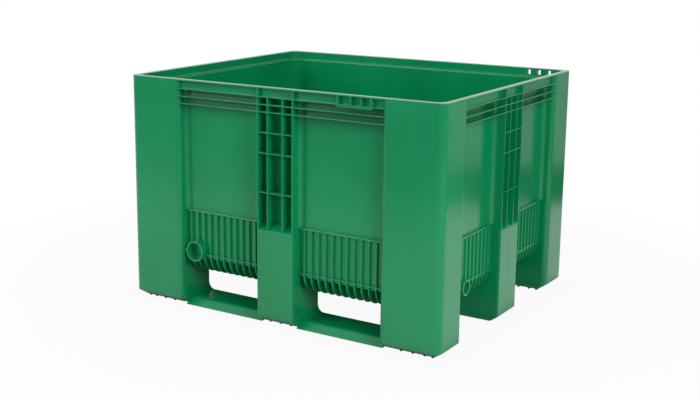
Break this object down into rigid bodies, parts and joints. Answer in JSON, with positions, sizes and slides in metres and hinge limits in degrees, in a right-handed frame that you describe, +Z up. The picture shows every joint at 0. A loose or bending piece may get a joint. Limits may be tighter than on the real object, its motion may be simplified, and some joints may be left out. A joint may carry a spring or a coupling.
{
  "type": "bulk pallet box",
  "caption": "Large green plastic pallet box: a ribbed open tub moulded in one with hollow corner posts, feet and runners, open to forks from all sides.",
  "frame": {"origin": "on the floor, under the centre of the box", "axes": "+X along the long sides, +Y along the short sides, +Z up"},
  "size_m": [1.2, 1, 0.79],
  "materials": {
    "green_plastic": "smooth moulded polyethylene with a soft gloss"
  },
  "bodies": {
    "root": {"pallet_box": "green_plastic"}
  },
  "joints": []
}
